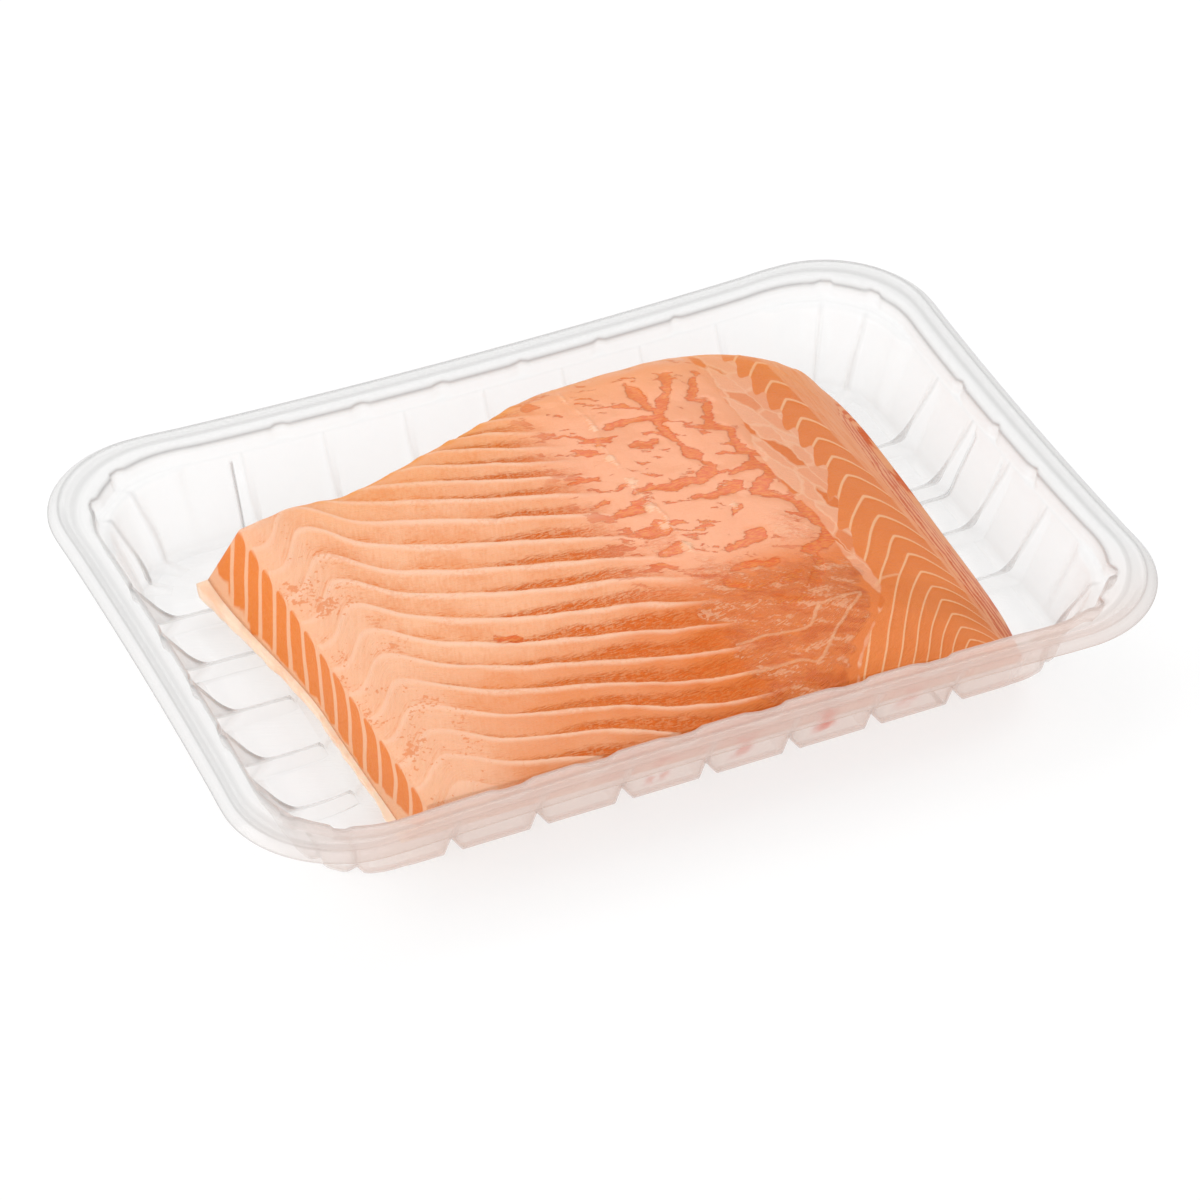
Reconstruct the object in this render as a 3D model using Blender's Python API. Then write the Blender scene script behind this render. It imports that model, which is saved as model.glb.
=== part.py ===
"""An open clear tray, pressed from thin sheet, with one thick piece of salmon fillet in it.

Metres, +Z up. X runs along the tray, Y across it, and the origin is under the tray's middle, on the surface that
its feet stand on. The piece of fish is two solids: the flesh, and the pale layer of fat and skin under it.
"""

import math

import bmesh
import bpy
from mathutils import Vector, noise

MM = 0.001

# Tray: the outer top edge of its rim is a rounded rectangle, and everything else is an inset from it
TRAY_LENGTH = 260.0 * MM
TRAY_WIDTH = 184.0 * MM
TRAY_HEIGHT = 28.3 * MM
RIM_CORNER_RADIUS = 29.7 * MM
INNER_CORNER_RADIUS = 29.0 * MM
CORNER_TIGHTENS = 0.72
SMALLEST_CORNER_RADIUS = 3.5 * MM
SHEET = 0.4 * MM
LIP_REACH = 2.9 * MM
LIP_DROP = 2.1 * MM
RIM_WIDTH = 7.3 * MM
LONG_SIDE_BOW = 2.1 * MM
SHORT_SIDE_BOW = 1.05 * MM
LONG_SIDE_SAG = 0.6 * MM
SHORT_SIDE_SAG = 0.3 * MM

# Inward ribs of the walls, which turn onto the floor: the feet are the rounded panels between them
LONG_SIDE_RIB_PITCH = 24.3 * MM
LONG_SIDE_RIBS = 7
SHORT_SIDE_RIB_PITCH = 21.7 * MM
LEFT_SIDE_RIBS = 5
LONG_SIDE_RIB_SETBACK = 2.4 * MM
RIGHT_SIDE_RIBS = 4
RIB_SHIFT = {"front": -1.8 * MM, "back": -1.5 * MM, "left": 0.6 * MM, "right": 0.0}
RIB_HALF_WIDTH = 2.8 * MM
RIB_HEIGHT = 3.4 * MM
RIB_END_INSET = 39.0 * MM
FLOOR_PANEL_INSET = 42.5 * MM
CORNER_ANGLES = (10, 21, 30, 39, 51, 60, 69, 80)
CORNER_RIB_ANGLES = (30, 60)
CORNER_LEDGE = 2.6 * MM
CORNER_LEDGE_DROP = 5.5 * MM

# Fillet: the outline of its top, and how high each part of it stands
FISH_BASE = 4.45 * MM
GAP = 0.3 * MM
FRONT_EDGE = -79.2 * MM
GRID_ALONG = 58
GRID_ACROSS = 42
CUT_EDGE_ROUNDING = 0.8 * MM
BACK_EDGE_ROUNDING = 1.8 * MM
RIGHT_EDGE_ROUNDING = 3.0 * MM
ROUNDED_WIDTH = 0.055
LEFT_FACE_LEAN = 9.0 * MM
RIGHT_FACE_LEAN = 2.4 * MM
BACK_FACE_LEAN = 2.0 * MM
FLESH_FOOT = 7.0 * MM
SIDE_LEVELS = (0.55, 0.0)
CREST_Y = 10.0 * MM
FRONT_SLOPE_LENGTH = 89.0 * MM
BACK_SLOPE_LENGTH = 55.0 * MM
FLAKE_PITCH = 9.3 * MM
FLAKE_HEIGHT = 0.9 * MM
FLAKE_TURN = math.radians(-24.5)
FAT_THICKNESS_LEFT_FRONT = 2.6 * MM
FAT_THICKENS_BACKWARDS = 0.0248
FAT_THINS_RIGHTWARDS = 0.0076
FAT_PROUD = 1.2 * MM
FAT_DRAWS_IN = 2.2 * MM

SIDES = ("right", "back", "left", "front")
OUTWARD = {"right": Vector((1, 0)), "back": Vector((0, 1)), "left": Vector((-1, 0)), "front": Vector((0, -1))}
HALF_OUT = {"right": TRAY_LENGTH / 2, "back": TRAY_WIDTH / 2, "left": TRAY_LENGTH / 2, "front": TRAY_WIDTH / 2}


def clear_scene():
    for thing in list(bpy.data.objects):
        bpy.data.objects.remove(thing)


def material(name, colour, roughness, transmission=0.0):
    made = bpy.data.materials.new(name)
    made.use_nodes = True
    surface = made.node_tree.nodes["Principled BSDF"]
    surface.inputs["Base Color"].default_value = (*colour, 1.0)
    surface.inputs["Roughness"].default_value = roughness
    surface.inputs["Metallic"].default_value = 0.0
    surface.inputs["Transmission Weight"].default_value = transmission
    return made


def finish(name, shape, look):
    """Makes an object of a bmesh, with its faces shaded smooth and pointing out."""
    mesh = bpy.data.meshes.new(name)
    shape.to_mesh(mesh)
    shape.free()
    mesh.shade_smooth()
    mesh.set_sharp_from_angle(angle=math.radians(35))
    made = bpy.data.objects.new(name, mesh)
    bpy.context.scene.collection.objects.link(made)
    mesh.materials.append(look)
    return made


def close_up(shape, border):
    """Closes a shape by a face on its border, and turns all faces outwards."""
    bmesh.ops.contextual_create(shape, geom=border)
    bmesh.ops.recalc_face_normals(shape, faces=shape.faces)
    if shape.calc_volume(signed=True) < 0:
        bmesh.ops.reverse_faces(shape, faces=shape.faces)


def blend(low, high, value):
    """0 below low, 1 above high, and smooth between."""
    share = min(max((value - low) / (high - low), 0.0), 1.0)
    return share * share * (3.0 - 2.0 * share)


def through(stations, at):
    """A smooth curve through (place, value) stations, read at one place."""
    at = min(max(at, stations[0][0]), stations[-1][0])
    last = len(stations) - 1
    index = next(index for index in range(last) if at <= stations[index + 1][0])
    (start, low), (end, high) = stations[index:index + 2]
    slopes = []
    for middle in (index, index + 1):
        before, after = stations[max(middle - 1, 0)], stations[min(middle + 1, last)]
        slopes.append((after[1] - before[1]) / (after[0] - before[0]) * (end - start))
    share = (at - start) / (end - start)
    rest = 1.0 - share
    ends = low * rest * rest * (1.0 + 2.0 * share) + high * share * share * (3.0 - 2.0 * share)
    return ends + slopes[0] * share * rest * rest - slopes[1] * share * share * rest


def extruded(shape, edges, loop):
    """Extrudes a closed loop of edges. Gives the new edges, and the new vertices in the order of the old ones."""
    made = bmesh.ops.extrude_edge_only(shape, edges=edges)["geom"]
    fresh = {part for part in made if isinstance(part, bmesh.types.BMVert)}
    rim = [part for part in made if isinstance(part, bmesh.types.BMEdge) and fresh.issuperset(part.verts)]
    follower = []
    for vert in loop:
        ends = [edge.other_vert(vert) for edge in vert.link_edges]
        follower.append(next(end for end in ends if end in fresh))
    return rim, follower


# Tray


def profile():
    """Each ring of the pressed sheet from the lip to the floor: panel inset and height, rib inset and height, how
    much of the corner ledge it takes, of a corner's rib it keeps and of the long sides' rib setback it takes."""
    top = TRAY_HEIGHT - SHEET
    ledge = top - CORNER_LEDGE_DROP
    mm = MM
    rib = RIB_HEIGHT
    return [
        (-LIP_REACH, top - LIP_DROP, -LIP_REACH, top - LIP_DROP, 0, 1, 0),
        (0, top, 0, top, 0, 1, 0),
        (RIM_WIDTH, top - 0.2 * mm, RIM_WIDTH, top - 0.2 * mm, 0, 1, 0),
        (8.5 * mm, ledge, 8.5 * mm, ledge, 0, 1, 0),
        (8.9 * mm, ledge - 0.5 * mm, 9.0 * mm, ledge - 0.5 * mm, 1, 1, 0),
        (9.7 * mm, 19.2 * mm, 10.4 * mm, 19.2 * mm, 1, 0.9, 0),
        (14.9 * mm, 8.0 * mm, 18.2 * mm, 8.4 * mm, 0.6, 0.7, 0.4),
        (17.2 * mm, 2.4 * mm, 21.8 * mm, rib + 1.6 * mm, 0.3, 0.5, 0.9),
        (18.9 * mm, 0.4 * mm, 24.4 * mm, rib + 0.3 * mm, 0, 0.3, 1),
        (21.5 * mm, 0, 27.0 * mm, rib, 0, 0, 1),
        (RIB_END_INSET, 0, RIB_END_INSET, rib, 0, 0, 0),
        (FLOOR_PANEL_INSET, 0, FLOOR_PANEL_INSET, 0, 0, 0, 0),
    ]


def ribs_along(side):
    """Where the ribs of one side stand, measured along it from its middle."""
    if side in ("back", "front"):
        count, pitch = LONG_SIDE_RIBS, LONG_SIDE_RIB_PITCH
    else:
        count = LEFT_SIDE_RIBS if side == "left" else RIGHT_SIDE_RIBS
        pitch = SHORT_SIDE_RIB_PITCH
    return [(index - (count - 1) / 2) * pitch + RIB_SHIFT[side] for index in range(count)]


def columns():
    """The sheet's columns, counter-clockwise: side, place along it or corner angle, and 1 on a rib's crest."""
    found = []
    for index, side in enumerate(SIDES):
        half = HALF_OUT[SIDES[(index + 1) % 4]] - RIM_CORNER_RADIUS
        ribs = ribs_along(side)
        pitch = ribs[1] - ribs[0]
        found.append((side, -half, 0, 0))
        for place in ribs:
            found.append((side, place - RIB_HALF_WIDTH, 0, 0))
            found.append((side, place, 0, 1))
            found.append((side, place + RIB_HALF_WIDTH, 0, 0))
            if place < ribs[-1]:
                found.append((side, place + pitch / 2, 0, 0))
        found.append((side, half, 0, 0))
        for angle in CORNER_ANGLES:
            found.append((side, half, math.radians(angle), int(angle in CORNER_RIB_ANGLES)))
    return found


def corner_radius(inset):
    """The rim's corners stay wide down to its inner edge, and the corners of the wall tighten slowly below it."""
    share = min(max(inset / RIM_WIDTH, 0.0), 1.0)
    radius = RIM_CORNER_RADIUS + (INNER_CORNER_RADIUS - RIM_CORNER_RADIUS) * share - min(inset, 0.0)
    return max(radius - CORNER_TIGHTENS * max(inset - RIM_WIDTH, 0.0), SMALLEST_CORNER_RADIUS)


def rim_place(side, along, angle, inset):
    """The point at this inset of one column, on a rounded rectangle inside the rim's."""
    out = OUTWARD[side]
    on = Vector((-out.y, out.x))
    half_across = HALF_OUT[SIDES[(SIDES.index(side) + 1) % 4]]
    radius = corner_radius(inset)
    straight = half_across - inset - radius
    if angle:
        centre = out * (HALF_OUT[side] - inset - radius) + on * straight
        return centre + (out * math.cos(angle) + on * math.sin(angle)) * radius
    kept = max(abs(place) for place in ribs_along(side))
    if abs(along) > kept:
        reach = (abs(along) - kept) * (straight - kept) / (half_across - RIM_CORNER_RADIUS - kept)
        along = math.copysign(kept + reach, along)
    return out * (HALF_OUT[side] - inset) + on * along


def corner_nearness(side, along, angle):
    """1 in a corner, falling to 0 along the straight sides beside it."""
    if angle:
        return 1.0
    half_on = HALF_OUT[SIDES[(SIDES.index(side) + 1) % 4]] - RIM_CORNER_RADIUS
    return blend(half_on - 9.0 * MM, half_on, abs(along))


def sheet_point(column, ring):
    side, along, angle, rib = column
    panel_inset, panel_z, rib_inset, rib_z, ledge_share, corner_share, setback_share = ring
    long_side = side in ("back", "front")
    if long_side and not angle:
        rib_inset -= LONG_SIDE_RIB_SETBACK * setback_share
    keep = rib * (corner_share if angle else 1.0)
    inset = panel_inset + (rib_inset - panel_inset) * keep
    height = panel_z + (rib_z - panel_z) * keep
    inset += CORNER_LEDGE * ledge_share * corner_nearness(side, along, angle)
    place = rim_place(side, along, angle, inset)
    half_on = HALF_OUT[SIDES[(SIDES.index(side) + 1) % 4]] - RIM_CORNER_RADIUS
    middle = 0.0 if angle else 1.0 - (along / half_on) ** 2
    middle *= blend(0.0, TRAY_HEIGHT, height)
    bow = LONG_SIDE_BOW if long_side else SHORT_SIDE_BOW
    sag = LONG_SIDE_SAG if long_side else SHORT_SIDE_SAG
    place -= OUTWARD[side] * (bow * middle)
    return Vector((place.x, place.y, height - sag * middle))


def tray():
    """One loop for the lip, extruded inwards ring by ring, closed by the floor and given its wall."""
    around = columns()
    rings = profile()
    shape = bmesh.new()
    loop = [shape.verts.new(sheet_point(column, rings[0])) for column in around]
    edges = [shape.edges.new((loop[index - 1], loop[index])) for index in range(len(loop))]
    for ring in rings[1:]:
        edges, loop = extruded(shape, edges, loop)
        for vert, column in zip(loop, around):
            vert.co = sheet_point(column, ring)
    bmesh.ops.contextual_create(shape, geom=edges)
    bmesh.ops.recalc_face_normals(shape, faces=shape.faces)
    floor = max(shape.faces, key=lambda face: len(face.verts))
    if floor.normal.z < 0:
        bmesh.ops.reverse_faces(shape, faces=shape.faces)
    made = finish("tray", shape, material("clear plastic", (0.93, 0.95, 0.95), 0.06, transmission=1.0))
    wall = made.modifiers.new("wall", "SOLIDIFY")
    wall.thickness = SHEET
    wall.offset = 1.0
    wall.use_even_offset = True
    return made


# Fillet


def left_edge(y):
    """X of the cut left side at its top."""
    return through([(-76 * MM, -84.0 * MM), (-20 * MM, -86.0 * MM), (47 * MM, -86.5 * MM)], y)


def right_edge(y):
    """X of the thin right side, which turns in at both ends."""
    stations = [(-76, 90.0), (-52, 94.0), (-10, 95.5), (20, 96.2), (40, 96.0), (54, 94.0), (64, 90.0)]
    return through([(place * MM, value * MM) for place, value in stations], y)


def back_edge(x):
    """Y of the back side, which swells right of the middle."""
    stations = [(-92, 43.5), (-70, 48.0), (-54, 47.0), (-20, 56.0), (10, 64.0), (28, 64.8)]
    stations += [(52, 64.5), (72, 63.5), (90, 58.5)]
    return through([(place * MM, value * MM) for place, value in stations], x)


def top_height(x, y):
    """How high the flesh stands over the surface below the tray, without its flakes."""
    crest = [(-92, 27.8), (-55, 28.0), (-20, 29.8), (25, 32.0), (52, 31.6), (78, 23.6), (97, 11.5)]
    front_drop = [(-92, 2.6), (-50, 3.6), (0, 6.6), (28, 7.8), (52, 7.4), (78, 4.0), (97, 1.5)]
    back_drop = [(-92, 0.0), (-40, 0.6), (20, 1.8), (60, 1.2), (97, -3.0)]
    drop, length = (front_drop, FRONT_SLOPE_LENGTH) if y < CREST_Y else (back_drop, BACK_SLOPE_LENGTH)
    height = through([(place * MM, value * MM) for place, value in crest], x)
    return height - through([(place * MM, value * MM) for place, value in drop], x) * ((y - CREST_Y) / length) ** 2


def flake_relief(x, y):
    """Raised lines of fat across the left half, and a softer crumple right of the middle."""
    across = -x * math.sin(FLAKE_TURN) + y * math.cos(FLAKE_TURN)
    wander = noise.noise(Vector((x / (26 * MM), y / (26 * MM), 0.3))) * 1.8 * MM
    wave = 0.5 + 0.5 * math.cos(2 * math.pi * (across + wander) / FLAKE_PITCH)
    lined = 1.0 - blend(-12 * MM, 34 * MM, x + 0.25 * y)
    crumple = noise.noise(Vector((x / (9 * MM), y / (9 * MM), 4.1)))
    crumpled = blend(-20 * MM, 10 * MM, x) * (1.0 - blend(50 * MM, 74 * MM, x))
    return FLAKE_HEIGHT * (lined * (wave ** 2 - 0.4) + crumpled * crumple)


def fat_top(x, y):
    """The face where flesh and pale layer meet: one plane, thickest at the back left corner."""
    thickness = FAT_THICKNESS_LEFT_FRONT
    thickness += FAT_THICKENS_BACKWARDS * (y + 70 * MM) - FAT_THINS_RIGHTWARDS * (x + 87 * MM)
    return FISH_BASE + thickness


def front_edge(x, level):
    """Y of the front side at a level from 0 at its foot to 1 at its top: it lies against the tray's wall."""
    top = top_height(x, FRONT_EDGE)
    height = FLESH_FOOT + (top - FLESH_FOOT) * level
    stations = [(4.4, -69.6), (7.0, -71.4), (12.0, -74.4), (19.0, -78.4), (24.0, -79.2)]
    return through([(place * MM, value * MM) for place, value in stations], height)


def outline_point(along, across, level=1.0):
    """A point of the plan from shares 0 to 1 along X and across Y, with the four sides as its borders."""
    y_guess = FRONT_EDGE + across * 136 * MM
    x = left_edge(y_guess) + (right_edge(y_guess) - left_edge(y_guess)) * along
    front = front_edge(x, level)
    y = front + (back_edge(x) - front) * across
    x = left_edge(y) + (right_edge(y) - left_edge(y)) * along
    return x, y


def side_point(along, across, level):
    """A point of the sides at a level from 0 at their foot to 1 at the top. The left, right and back sides spread
    towards the foot, and the front side follows the tray's wall, so that it draws in."""
    x, y = outline_point(along, across, level)
    foot = 1.0 - level
    left = LEFT_FACE_LEAN * (0.18 + 0.82 * blend(0.45, 1.0, across))
    x += (RIGHT_FACE_LEAN * along ** 12 - left * (1.0 - along) ** 12) * foot
    y += BACK_FACE_LEAN * foot * across ** 12
    return x, y


def edge_drop(along, across):
    """How far the top falls at its edges: the cut left and front edges are sharp, the others round."""
    roundings = [(along, CUT_EDGE_ROUNDING), (across, CUT_EDGE_ROUNDING)]
    roundings += [(1.0 - along, RIGHT_EDGE_ROUNDING), (1.0 - across, BACK_EDGE_ROUNDING)]
    return max(rounding * max(1.0 - share / ROUNDED_WIDTH, 0.0) ** 2 for share, rounding in roundings)


def flesh():
    """A grid bent to the fillet's top, whose border is extruded down its sides to the pale layer."""
    shape = bmesh.new()
    bmesh.ops.create_grid(shape, x_segments=GRID_ALONG, y_segments=GRID_ACROSS, size=0.5)
    shape.verts.ensure_lookup_table()
    shares = {}
    for vert in shape.verts:
        along, across = vert.co.x + 0.5, vert.co.y + 0.5
        x, y = outline_point(along, across)
        vert.co = (x, y, top_height(x, y) + flake_relief(x, y) - edge_drop(along, across))
        shares[vert] = (along, across)
    border = [edge for edge in shape.edges if edge.is_boundary]
    loop = list({vert for edge in border for vert in edge.verts})
    places = [shares[vert] for vert in loop]
    for level in SIDE_LEVELS:
        border, loop = extruded(shape, border, loop)
        for vert, (along, across) in zip(loop, places):
            x, y = side_point(along, across, level)
            foot = fat_top(x, y) + GAP
            vert.co = (x, y, foot + (top_height(x, y) - foot) * level)
    close_up(shape, border)
    return finish("flesh", shape, material("salmon flesh", (0.87, 0.33, 0.13), 0.35))


def pale_layer():
    """The fat and skin below the flesh, a thin slab that stands a little proud of the cut side."""
    shape = bmesh.new()
    steps_along, steps_across = 30, 20
    borders = [(index / steps_along, 0.0) for index in range(steps_along)]
    borders += [(1.0, index / steps_across) for index in range(steps_across)]
    borders += [(1.0 - index / steps_along, 1.0) for index in range(steps_along)]
    borders += [(0.0, 1.0 - index / steps_across) for index in range(steps_across)]
    places = []
    for along, across in borders:
        x, y = side_point(along, across, 0.0)
        places.append((x - FAT_PROUD * (1.0 - along) ** 12, y))
    loop = [shape.verts.new((x, y, fat_top(x, y))) for x, y in places]
    upper = shape.faces.new(loop)
    made = bmesh.ops.extrude_face_region(shape, geom=[upper])["geom"]
    for vert in (part for part in made if isinstance(part, bmesh.types.BMVert)):
        drawn_in = FAT_DRAWS_IN * (vert.co.y < FRONT_EDGE + 20 * MM)
        vert.co = (vert.co.x, vert.co.y + drawn_in, FISH_BASE)
    bmesh.ops.recalc_face_normals(shape, faces=shape.faces)
    return finish("fat_layer", shape, material("pale fat and skin", (0.93, 0.72, 0.5), 0.4))


clear_scene()
tray()
flesh()
pale_layer()
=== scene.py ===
"""The looks of an open clear tray with one thick piece of salmon fillet in it.

Lengths are written in millimetres and turned to metres where a mesh is made. X runs along the tray, Y across
it, and the fillet's raised lines of fat run along the camera's own horizontal.
"""

import math

import bmesh
import bpy
import numpy as np
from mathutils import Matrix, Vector, noise


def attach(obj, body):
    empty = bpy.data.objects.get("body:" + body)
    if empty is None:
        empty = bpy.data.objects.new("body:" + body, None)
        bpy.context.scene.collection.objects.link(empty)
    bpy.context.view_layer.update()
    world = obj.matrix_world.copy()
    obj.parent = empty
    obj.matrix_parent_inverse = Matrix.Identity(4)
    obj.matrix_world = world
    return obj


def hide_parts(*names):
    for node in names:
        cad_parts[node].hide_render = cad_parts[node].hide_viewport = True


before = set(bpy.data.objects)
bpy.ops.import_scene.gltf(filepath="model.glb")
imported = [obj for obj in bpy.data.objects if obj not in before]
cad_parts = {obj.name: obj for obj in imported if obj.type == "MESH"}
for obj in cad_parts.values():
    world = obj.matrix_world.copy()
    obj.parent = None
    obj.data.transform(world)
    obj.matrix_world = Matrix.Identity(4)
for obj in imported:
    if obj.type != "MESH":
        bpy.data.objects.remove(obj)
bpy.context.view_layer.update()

MM = 0.001

# Tray: the outer top edge of its rim is a rounded rectangle, and everything else is an inset from it
TRAY_LENGTH, TRAY_WIDTH, TRAY_HEIGHT = 260.0, 184.0, 28.3
RIM_CORNER_RADIUS = 29.7
INNER_CORNER_RADIUS = 29.0
CORNER_TIGHTENS = 0.72
SMALLEST_CORNER_RADIUS = 3.5
SHEET = 0.4
LIP_REACH, LIP_DROP = 2.8, 2.1
RIM_WIDTH = 7.3
LONG_SIDE_BOW, SHORT_SIDE_BOW = 2.1, 1.05
LONG_SIDE_SAG, SHORT_SIDE_SAG = 0.6, 0.3
RIB_COUNT = {"right": 4, "back": 7, "left": 5, "front": 7}
RIB_PITCH = {"right": 21.7, "back": 24.3, "left": 21.7, "front": 24.3}
RIB_SHIFT = {"right": 0.0, "back": -1.5, "left": 0.6, "front": -1.8}
RIB_HALF_WIDTH = 2.8
COLUMN_PITCH = 1.0
RIB_COLUMNS = (-1.0, -0.75, -0.5, -0.3, -0.12, 0.0, 0.12, 0.3, 0.5, 0.75, 1.0)
RIB_HEIGHT = 3.4
RIB_END_INSET = 39.0
FLOOR_PANEL_INSET = 41.0
LONG_SIDE_RIB_SETBACK = 2.4
CORNER_STEP = 3.0
CORNER_RIB_ANGLES, CORNER_RIB_HALF_ANGLE = (30, 60), 7.0
CORNER_LEDGE, CORNER_LEDGE_DROP = 2.6, 5.5
LUG_HALF_WIDTH = {"right": 2.2, "back": 2.2, "left": 2.2, "front": 6.0}
LUG_DEPTH = {"right": 1.3, "back": 1.3, "left": 1.3, "front": 2.0}

# Painted shade of the clear sheet on each side, painted glow of its front wall, and painted red of flesh
# seen through the front wall: (place, strength)
CREASE_PAINTED_SHADE = {"right": 0.5, "back": 0.2, "left": 0.95, "front": 0.7}
PAINTED_GLOW = {"right": 0.0, "back": 0.0, "left": 0.0, "front": 0.11}
SEE_THROUGH_PATCHES = [(-18.0, 0.9), (6.3, 0.7), (30.6, 1.0), (54.9, 0.6)]
SEE_THROUGH_REACH = 4.2
PAINTED_GLOW_TO_TINT = 5.5

# Fillet
FISH_BASE = 4.45
GAP = 0.3
FRONT_EDGE = -79.2
TOP_ALONG, TOP_ACROSS = 330, 226
EDGE_ROUNDING = 0.055
LEFT_ROUNDS, FRONT_ROUNDS, RIGHT_ROUNDS, BACK_ROUNDS = 0.8, 0.8, 3.0, 1.8
SIDE_STEPS = 14
LEFT_FACE_LEAN, RIGHT_FACE_LEAN, BACK_FACE_LEAN = 9.0, 2.4, 2.0
FLESH_FOOT = 7.0
CREST_Y = 10.0
FRONT_SLOPE_LENGTH, BACK_SLOPE_LENGTH = 89.0, 55.0
GRAIN_TURN = math.radians(-24.5)
HOOK_X = -70.0
CHEVRON_X = 75.0
CHEVRON_PITCH = 9.5
CHEVRONS_CROWD = 0.001
FLAKE_PITCH = 9.5
STRIPE_PITCH = 9.6
FAT_THICKNESS_LEFT_FRONT = 2.6
FAT_THICKENS_BACKWARDS = 0.0248
FAT_THINS_RIGHTWARDS = 0.0076
FAT_PROUD = 1.2
FAT_DRAWS_IN = 2.2
FAT_STEPS_ALONG, FAT_STEPS_ACROSS = 150, 100
FAT_RINGS = [(0.1, 0.25), (0.25, 0.5), (0.55, 0.8), (1.1, 1.0)]

# Sizes of the flesh's noise patterns along and across their own direction, the brush's in metres
STROKE_SIZE = (1.9, 0.48, 1.0)
FIBRE_SIZE = (0.6, 4.0, 1.0)
PATCH_SIZE = (9.0, 3.2, 50.0)
CELL_SIZE = (5.2, 13.0, 50.0)
STROKE_TURN, FIBRE_TURN, CELL_TURN = 0.34, 0.1, 0.25
BRUSH_SIZE = (0.0009, 0.012, 0.02)

# Numbers that the fillet keeps for each vertex and its material reads
FLESH_LAYERS = ("flake", "lined", "hooked", "gape", "chevron", "chevroned", "band", "edge_fat", "beyond",
                "smooth", "wrinkle", "membrane", "knob", "seam", "granular", "ruddy", "deep", "back_glow",
                "depth", "over_fat", "stripe", "cut")

# Wrinkles of the flesh, as rows of (x, y, half width) placed one by one
WRINKLES = [
    [(45, 55, 0.6), (43, 48, 0.7), (39, 43, 1.2), (34, 36, 1.4), (33, 32, 0.5), (35, 25, 0.5), (36, 18, 1.7),
     (37, 14, 0.6), (40, 10, 0.7), (38, 8, 1.6), (33, 6, 1.4), (27, 7, 1.0), (20, 9, 1.0), (15, 9, 0.5)],
    [(34, 36, 0.9), (31, 39, 0.9), (25, 39, 0.6), (19, 39, 0.2)],
    [(33, 55, 0.4), (34, 50, 1.6), (35, 43, 1.4), (35, 37, 0.9)],
    [(54, 53, 0.4), (51, 47, 0.9), (47, 41, 0.9), (51, 38, 0.7), (48, 32, 1.4), (47, 27, 1.0), (50, 24, 0.7),
     (50, 18, 1.0), (49, 14, 0.7), (53, 11, 0.6), (51, 8, 1.2), (46, 5, 1.0), (43, 4, 0.5)],
    [(51, 7, 0.6), (53, 2, 0.5), (47, -2, 1.9), (45, -5, 1.6), (49, -8, 1.2), (53, -12, 1.0), (56, -17, 1.6),
     (57, -25, 1.9), (53, -31, 1.6), (48, -32, 1.2), (48, -39, 1.0), (43, -45, 1.0), (37, -49, 1.2),
     (32, -47, 1.4)],
    [(29, 0, 0.5), (34, -2, 1.2), (40, -2, 0.7)],
    [(38, -9, 1.0), (35, -12, 0.5)],
    [(7, 2, 0.5), (13, 1, 1.4)],
    [(2, 8, 0.6), (6, 9, 0.5)],
    [(1, 20, 0.3), (9, 20, 0.5)],
    [(30, 27, 0.5), (23, 28, 0.2)],
    [(29, -23, 0.7), (33, -23, 1.2), (37, -22, 1.6), (39, -20, 1.0), (36, -19, 0.4)],
    [(26, -31, 0.4), (32, -32, 1.2), (37, -33, 0.7)],
    [(22, -36, 1.0), (27, -39, 1.0), (33, -40, 0.7), (38, -40, 1.2), (41, -39, 0.7)],
    [(11, -8, 1.5), (15, -9, 2.0)],
    [(12, -18, 1.2), (15, -18, 1.6)],
    [(-42, -29, 1.0), (-38, -31, 1.2)],
]

# Thin pale lines that leave the pattern of the flakes, as rows of (x, y)
MEMBRANES = [
    [(4, -66), (12, -68), (27, -68), (32, -70), (38, -65), (42, -61), (53, -52), (51, -51), (42, -52),
     (40, -53), (35, -58), (30, -58), (22, -57), (14, -57)],
    [(59, -50), (62, -47), (67, -46)],
]

# The row where the pin bones sat: (y, x) of its seam, and its knobs as (x, y, radius)
PIN_BONES = [(-40, 21), (-18, 18), (2, 17), (12, 15), (19, 16), (31, 15), (40, 17), (58, 15)]
KNOBS = [(15, 25, 1.6), (16, 13, 1.9), (16, 1, 1.9), (16, -8, 1.7), (18, -18, 1.8), (37, -8, 1.3),
         (17, 40, 1.2)]

# Patches with a wet grainy skin: (x, y, radius)
GRANULAR = [(20, -31, 9), (16, -44, 8), (21, -58, 9), (40, -40, 8), (53, -43, 7), (13, -13, 7),
            (26, -54, 8), (47, -22, 8)]

# Camera: worked out from the tray's rim and feet in the photograph
CAMERA_TURN = math.radians(-24.53)
CAMERA_RISE = math.radians(38.89)
CAMERA_DISTANCE = 1418.2
CAMERA_TARGET = (-11.234, -25.914, 28.3)
CAMERA_LENS = 160.09
FLOOR_REACH = 4.0

SIDES = ("right", "back", "left", "front")
OUTWARD = {"right": Vector((1, 0)), "back": Vector((0, 1)),
           "left": Vector((-1, 0)), "front": Vector((0, -1))}
HALF_LENGTH, HALF_WIDTH = TRAY_LENGTH / 2, TRAY_WIDTH / 2
HALF_OUT = {"right": HALF_LENGTH, "back": HALF_WIDTH, "left": HALF_LENGTH, "front": HALF_WIDTH}


# Numbers

def blend(low, high, value):
    """0 below low, 1 above high, and smooth between; low may be the larger."""
    share = np.clip((value - low) / (high - low), 0.0, 1.0)
    return share * share * (3.0 - 2.0 * share)


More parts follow.
